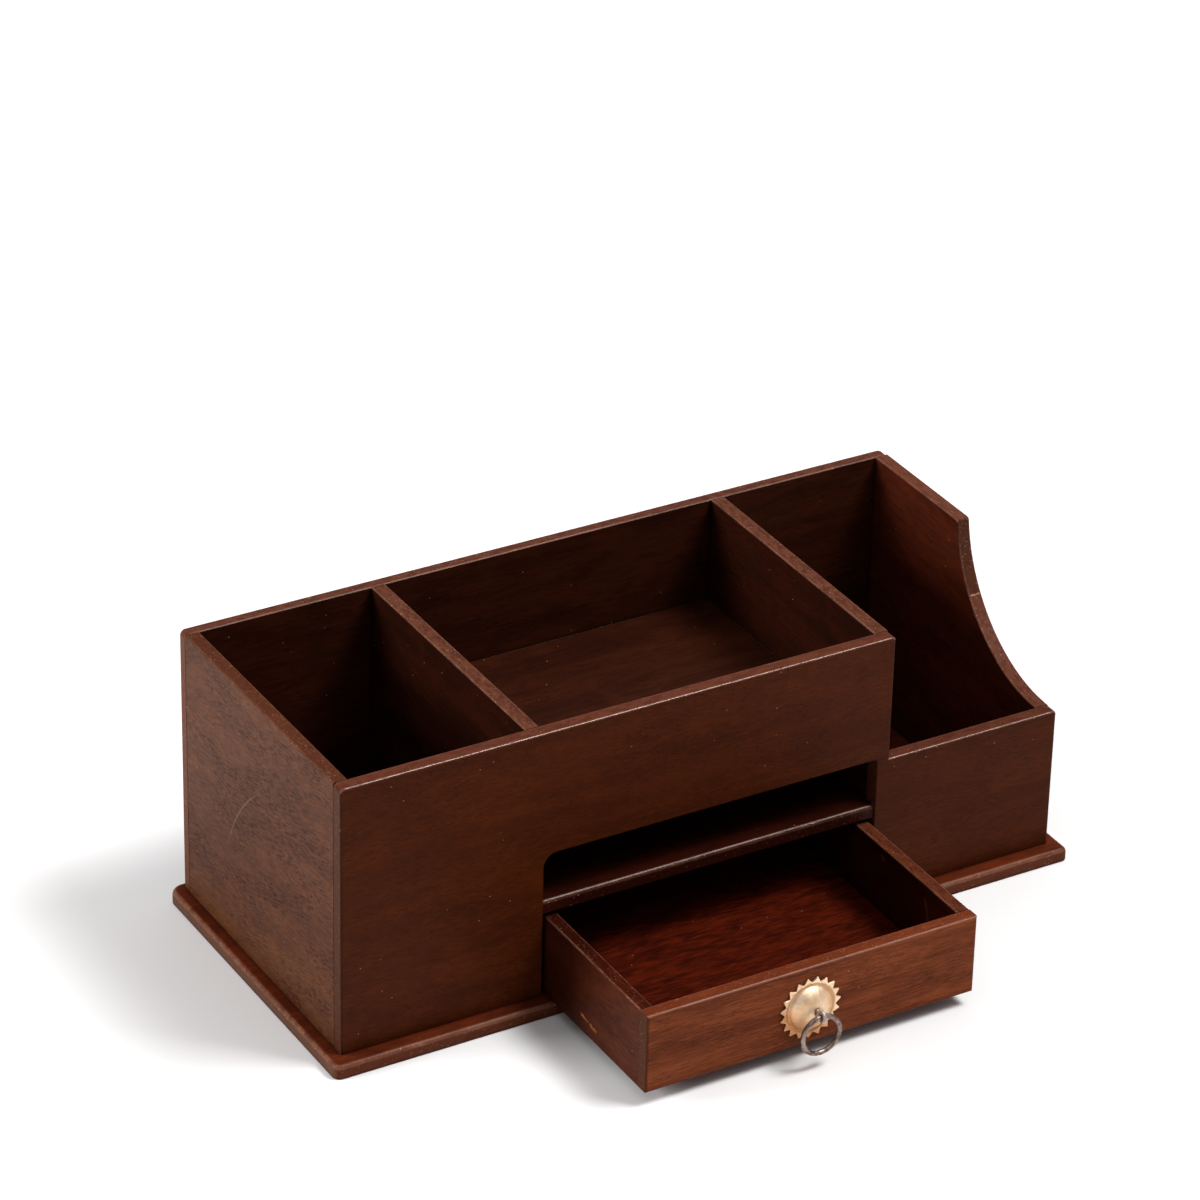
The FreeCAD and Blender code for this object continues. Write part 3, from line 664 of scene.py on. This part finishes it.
# %% [markdown]
# From the slot outwards each column first follows the dome, then dips through the groove, and ends in its
# tooth. The slot sits a little above the dome's centre, so the innermost rings slide from the one centre to the
# other. The press leaves the middle of each tooth slightly high, and its sheared edge slightly rolled.

# %% Press the rosette
dome_steps = [0.0, 0.12, 0.25, 0.40, 0.55, 0.70, 0.85, 1.0]
shoulder_steps = [meeting_radius + (dome_radius - meeting_radius) * step / 8 for step in range(1, 9)]
groove_steps = [dome_radius + (groove_end - dome_radius) * step / 6 for step in range(1, 7)]
tooth_lift, lip_depth, wall = 0.14, 0.25, 1.25
# each step across a tooth: share of its length, share of the lift, and how far its edge has rolled down
tooth_steps = [(0.35, 0.0, 0.0), (0.70, 0.6, 0.0), (0.88, 0.3, 0.0), (0.97, 0.0, 0.07), (1.0, 0.0, lip_depth),
               (1.0, 0.0, sheet)]


def slot_edge(across, up):
    """How far the round-ended slot for the eye's two legs reaches in a direction."""
    straight = slot_half_height - slot_half_width
    if abs(across) * straight >= slot_half_width * abs(up):
        return slot_half_width / abs(across)
    return straight * abs(up) + math.sqrt(slot_half_width ** 2 - (straight * across) ** 2)


def column_points(rim_radius, angle, tooth_share):
    """The points of one column, as (across, up, height) in millimetres, front first and back after."""
    across, up = math.cos(angle), math.sin(angle)
    hole_radius = slot_edge(across, up)
    points = []
    for step in dome_steps:
        radius = hole_radius + (meeting_radius - hole_radius) * step
        spot = (radius * across, radius * up + rosette_drop * (1 - step))
        points.append((*spot, pressed_height(math.hypot(*spot))))
    points.insert(0, (points[0][0] * 0.97, points[0][1] * 0.97 + 0.02, points[0][2] - lip_depth))
    for radius in shoulder_steps + groove_steps:
        points.append((radius * across, radius * up, pressed_height(radius)))
    lift = tooth_lift * max(0.0, tooth_share) ** 0.5
    for share, lift_share, rolled in tooth_steps:
        radius = groove_end + (rim_radius - groove_end) * share
        points.append((radius * across, radius * up, sheet + lift * lift_share - rolled))
    # the hollow back, from the groove to just outside the slot
    for radius, shift in ((groove_end, 0), (dome_radius - 1.5, 0), (meeting_radius, 0),
                          (hole_radius + 0.6, rosette_drop)):
        points.append((radius * across, radius * up + shift, max(0.0, pressed_height(radius) - wall)))
    return points


rosette_builder = bmesh.new()
columns = []
for rim_radius, angle, tooth_share in outline:
    columns.append([rosette_builder.verts.new((rosette_centre.x + across * MM, rosette_centre.y - height * MM,
                                               rosette_centre.z + up * MM))
                    for across, up, height in column_points(rim_radius, angle, tooth_share)])
for column, following in zip(columns, columns[1:] + columns[:1]):
    for index in range(len(column)):
        after = (index + 1) % len(column)
        rosette_builder.faces.new((column[index], column[after], following[after], following[index]))
bmesh.ops.recalc_face_normals(rosette_builder, faces=rosette_builder.faces)
for face in rosette_builder.faces:
    face.smooth = True
rosette = link_mesh("rosette_pressed_brass", rosette_builder)
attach(rosette, "drawer")
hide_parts("pull_rosette")
print("rosette faces:", len(rosette.data.polygons))

# %% [markdown]
# ## Pressed brass
# The rosette is yellow brass sheet, pressed, polished and left under a thin lacquer that has yellowed.
# The punch drags the metal outwards, so faint marks run from the middle to the rim and break the highlight in
# bands. The groove keeps brown tarnish, deepened by painted shade, and towards the lower left the colour is
# painted a deeper gold, as painted shade and a painted reflection of the dark wood.

# %% Brass finish
def pressed_brass(name, centre):
    """Polished brass for a disc that faces forward, centred on a point in metres."""
    finish, tree = new_finish(name)
    place = place_in_mm(tree)
    local = add(tree, "ShaderNodeVectorMath", {0: place, 1: tuple(centre / MM)},
                operation="SUBTRACT").outputs[0]
    across, _, up = split(tree, local)
    turn = calculate(tree, "ARCTAN2", across, up)
    flat = add(tree, "ShaderNodeCombineXYZ", {0: across, 1: up}).outputs[0]
    radius = add(tree, "ShaderNodeVectorMath", {0: flat}, operation="LENGTH").outputs["Value"]
    round_space = add(tree, "ShaderNodeCombineXYZ", {0: turn, 1: radius}).outputs[0]
    # the drag marks are about 2 mm apart at the shoulder and run nearly the whole way out
    drag_space = add(tree, "ShaderNodeVectorMath", {0: round_space, 1: (4.2, 0.10, 1.0)},
                     operation="MULTIPLY").outputs[0]
    drag = add(tree, "ShaderNodeTexNoise", {"Vector": drag_space, "Scale": 1.0, "Detail": 3.0,
                                            "Roughness": 0.6}).outputs["Fac"]
    grit = stretched_noise(tree, place, (0.7, 0.7), 3.0)
    tarnish = stretched_noise(tree, place, (6.0, 6.0), 3.0)
    colour = blend_colours(tree, ramp(tree, tarnish, 0.3, 0.7), to_linear("F4CDA2"), to_linear("FDE2C4"))
    groove_middle = (dome_radius + groove_end) / 2
    off_groove = calculate(tree, "ABSOLUTE", calculate(tree, "SUBTRACT", radius, groove_middle))
    # brown tarnish in the groove, deepened by painted shade
    colour = blend_colours(tree, ramp(tree, off_groove, 1.6, 0.2, 0.0, 0.6), colour, to_linear("B0794A"))
    # painted shade and painted reflection: a deeper gold towards the lower left
    low_left_painted_shade = add(tree, "ShaderNodeVectorMath", {0: local, 1: (-0.5, 0.0, -0.87)},
                   operation="DOT_PRODUCT").outputs["Value"]
    colour = blend_colours(tree, ramp(tree, low_left_painted_shade, -1.0, 9.0, 0.0, 0.85), colour, to_linear("C88C58"))
    colour = blend_colours(tree, ramp(tree, grit, 0.55, 0.8, 0.0, 0.25), colour, to_linear("B0804E"))
    drag_bump = add(tree, "ShaderNodeBump", {"Height": drag, "Strength": 0.8, "Distance": 0.4 * MM})
    bump = add(tree, "ShaderNodeBump", {"Height": grit, "Strength": 0.25, "Distance": 0.06 * MM,
                                        "Normal": drag_bump.outputs[0]})
    brass = add(tree, "ShaderNodeBsdfPrincipled",
                {"Base Color": colour, "Metallic": 1.0, "Roughness": ramp(tree, drag, 0.3, 0.7, 0.42, 0.56),
                 "Normal": bump.outputs[0]})
    add(tree, "ShaderNodeOutputMaterial", {"Surface": brass.outputs[0]})
    return finish


rosette.data.materials.append(pressed_brass("rosette_pressed_brass", rosette_centre))
print("rosette finish:", rosette.data.materials[0].name)

# %% [markdown]
# ## The eye and the ring
# A piece of steel wire is bent double round a mandrel. Its loop holds the ring, and its two legs go through
# the dome and the board and are spread flat inside the drawer. A curve with a round bevel would do, but a tube
# of our own lets the wire keep an even thickness round the tight neck, and its ends can be cut square.

# %% Draw wire along a path
WIRE_SIDES = 20


def wire_tube(name, path, radii, closed=False):
    """A round wire along points in millimetres, with a radius for each point."""
    count = len(path)
    builder = bmesh.new()
    rings, side_way = [], Vector((1, 0, 0))
    for index, spot in enumerate(path):
        before = path[index - 1] if index or closed else spot
        after = path[(index + 1) % count] if index < count - 1 or closed else spot
        along = (after - before).normalized()
        side_way = (side_way - along * side_way.dot(along)).normalized()
        other_way = along.cross(side_way)
        turns = [2 * math.pi * side / WIRE_SIDES for side in range(WIRE_SIDES)]
        rings.append([builder.verts.new((spot + radii[index] * (side_way * math.cos(turn)
                                                                + other_way * math.sin(turn))) * MM)
                      for turn in turns])
    for first, second in zip(rings, rings[1:] + (rings[:1] if closed else [])):
        for side in range(WIRE_SIDES):
            after = (side + 1) % WIRE_SIDES
            builder.faces.new((first[side], first[after], second[after], second[side]))
    if not closed:
        builder.faces.new(rings[0])
        builder.faces.new(rings[-1])
    bmesh.ops.recalc_face_normals(builder, faces=builder.faces)
    for face in builder.faces:
        face.smooth = len(face.verts) == 4
    return link_mesh(name, builder)


print("sides of a wire:", WIRE_SIDES)

# %% Bend the eye
eye_wire, ring_wire, ring_play = 1.6, 2.2, 0.15
ring_radius = 8.7
loop_radius = ring_wire / 2 + ring_play + eye_wire / 2
leg_place, neck_round, leg_round, leg_length = 0.85, 1.2, 1.4, 7.0
neck_up = leg_place + neck_round
neck_back = math.sqrt((loop_radius + neck_round) ** 2 - neck_up ** 2)
neck_angle = math.atan2(neck_up, neck_back)
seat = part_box("pull_eye")[1].y / MM - eye_place.y / MM - eye_wire / 2


def arc_points(centre_back, centre_up, radius, start, end, steps):
    """Points on an arc in the plane of the eye, as (back, up)."""
    angles = [start + (end - start) * step / steps for step in range(steps + 1)]
    return [(centre_back + radius * math.cos(angle), centre_up + radius * math.sin(angle)) for angle in angles]


half = [(seat, leg_place + leg_round + leg_length)]
half += arc_points(seat - leg_round, leg_place + leg_round, leg_round, 0, -math.pi / 2, 8)
half += arc_points(neck_back, neck_up, neck_round, -math.pi / 2, neck_angle - math.pi, 8)
loop = arc_points(0, 0, loop_radius, neck_angle, 2 * math.pi - neck_angle, 40)[1:-1]
eye_path = [Vector((eye_place.x / MM, eye_place.y / MM + back, eye_place.z / MM + up))
            for back, up in half + loop + [(back, -up) for back, up in reversed(half)]]
eye = wire_tube("eye_bent_wire", eye_path, [eye_wire / 2] * len(eye_path))
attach(eye, "drawer")
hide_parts("pull_eye")
print("eye wire points:", len(eye_path))

# %% [markdown]
# The ring was bent by hand from thicker wire. It isn't quite round, its wire swells and thins a little,
# and its two ends meet at the bottom in a filed joint. It hangs in the eye and turns with it.

# %% Bend the ring
def around(turn, parts):
    """A smooth closed wobble made from a few waves, each (waves round the ring, size, start)."""
    return sum(size * math.sin(waves * turn + start) for waves, size, start in parts)


ring_steps, joint_turn = 144, math.radians(262)
# waves round the ring, size in mm, and start, for its shape and for the thickness of its wire
out_of_round = ((2, 0.10, 0.6), (3, 0.07, 2.0), (5, 0.03, 1.0))
uneven_wire = ((4, 0.03, 0.4), (7, 0.025, 1.7))
ring_path, ring_radii = [], []
for step in range(ring_steps):
    turn = 2 * math.pi * step / ring_steps + math.pi / 2
    from_top = (1 - math.sin(turn)) / 2
    reach = ring_radius + from_top * around(turn, out_of_round)
    from_joint = abs((turn - joint_turn + math.pi) % (2 * math.pi) - math.pi)
    seam = 0.16 * math.exp(-(from_joint / 0.035) ** 2) - 0.05 * math.exp(-((from_joint - 0.12) / 0.06) ** 2)
    ring_path.append(Vector((eye_place.x / MM + reach * math.cos(turn), eye_place.y / MM,
                             eye_place.z / MM - ring_radius + reach * math.sin(turn))))
    ring_radii.append(ring_wire / 2 + from_top * around(turn, uneven_wire) - seam)
ring = wire_tube("ring_bent_wire", ring_path, ring_radii, closed=True)
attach(ring, "ring")
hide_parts("pull_ring")
print("ring across in mm:", round(max(ring.dimensions) / MM, 1))

# %% [markdown]
# ## Dulled steel wire
# The wire is mild steel. The ring has a brownish skin from handling, and the eye is painted brighter, as
# painted light on its shaded loop.
# It is a metal with a rough, uneven surface: patches of oxide about 2 mm across, and fine pits that take the
# edge off every highlight.

# %% Finish the wire
# painted light: the eye's steel is drawn brighter than the ring's
eye.data.materials.append(drawn_steel("eye_steel_painted_light", "D8CAC2", "9A877E", 0.46, 0.7))
ring.data.materials.append(drawn_steel("ring_dulled_steel", "A08E86", "6B5850", 0.40, 0.7))
print("wire finishes:", eye.data.materials[0].name, ring.data.materials[0].name)
